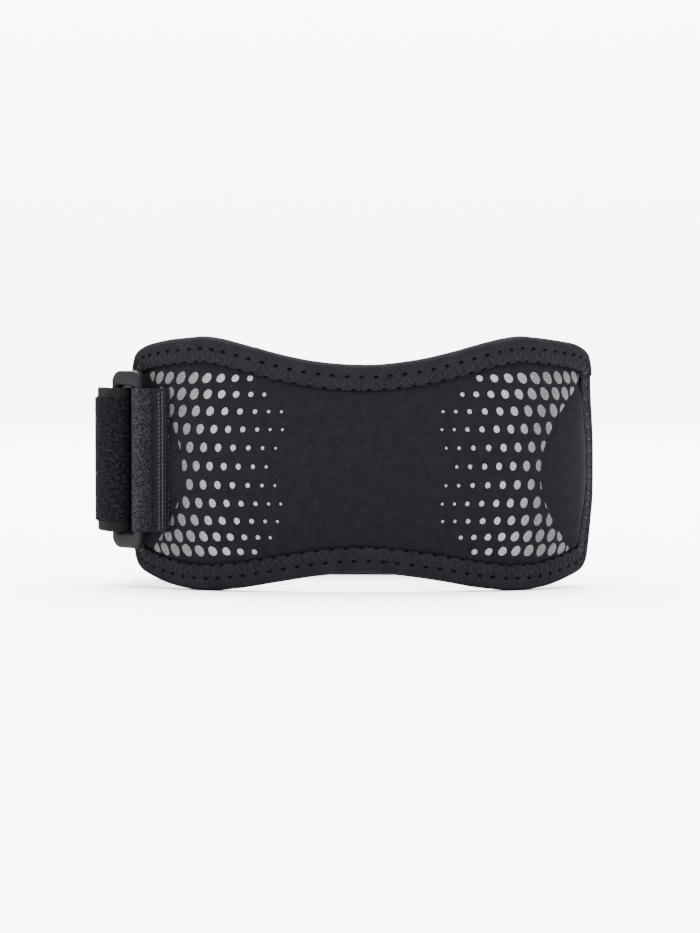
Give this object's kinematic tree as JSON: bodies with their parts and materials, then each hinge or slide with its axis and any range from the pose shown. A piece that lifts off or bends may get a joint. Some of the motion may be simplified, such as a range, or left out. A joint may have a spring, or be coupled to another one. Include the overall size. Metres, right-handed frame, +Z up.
{
  "type": "patella strap",
  "caption": "Under-kneecap support strap: butterfly-shaped bound pad with halftone dots, closed into a loop by a hook-and-loop strap through a plastic ring.",
  "frame": {"origin": "centre of the footprint's bounding box, on the surface that the strap stands on", "axes": "+Z up, +X along the pad away from the ring, +Y from the pad's printed face to the back of the loop"},
  "size_m": [0.1396, 0.0754, 0.0698],
  "materials": {
    "pad_fabric": "smooth stretch knit over foam",
    "binding_fabric": "fine ribbed knit",
    "ring_plastic": "satin moulded",
    "tab_webbing": "coarse woven",
    "strap_pile": "brushed loop pile",
    "hook_tape": "hook tape",
    "print_silver": "matte silver print",
    "thread": "sewing thread"
  },
  "bodies": {
    "root": {"front_pad": "pad_fabric", "edge_binding": "binding_fabric", "buckle_ring": "ring_plastic", "ring_tab": "tab_webbing", "closure_strap": "strap_pile", "hook_patch": "hook_tape"}
  },
  "joints": []
}
